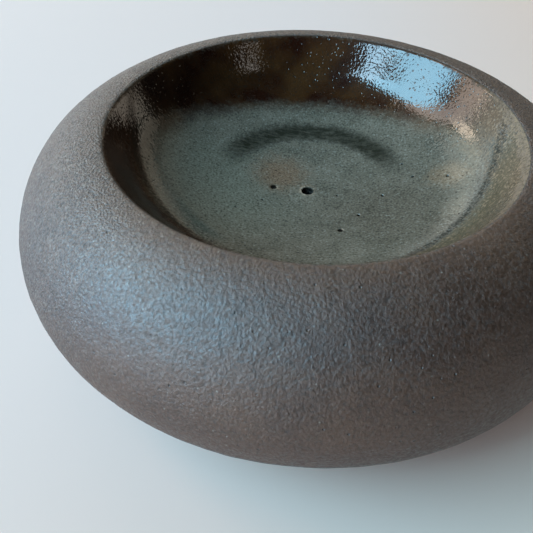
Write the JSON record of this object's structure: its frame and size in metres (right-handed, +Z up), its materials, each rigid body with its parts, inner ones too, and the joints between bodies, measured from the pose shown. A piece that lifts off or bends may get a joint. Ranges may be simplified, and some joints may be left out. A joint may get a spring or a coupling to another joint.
{
  "type": "incense burner",
  "caption": "Round doughnut-shaped stoneware incense burner with a glazed dish let into its top and a central hole that holds one incense stick.",
  "frame": {"origin": "centre of the foot ring, on the surface that the burner stands on", "axes": "+Z up along the axis that the burner was thrown about; -Y towards the viewer; the burner is round, so X and Y are otherwise free"},
  "size_m": [0.12, 0.12, 0.041],
  "materials": {
    "raw_stoneware": "matte, unglazed, gritty",
    "dish_clay": "matte, fired under the glaze",
    "joint_slip": "matte, smooth",
    "dish_glaze": "satin gloss, brown on the wall and grey green on the floor"
  },
  "bodies": {
    "root": {"outer_wall": "raw_stoneware", "dish": "dish_clay", "base_disc": "raw_stoneware", "rim_slip": "joint_slip", "base_slip": "joint_slip", "dish_glaze": "dish_glaze"}
  },
  "joints": []
}
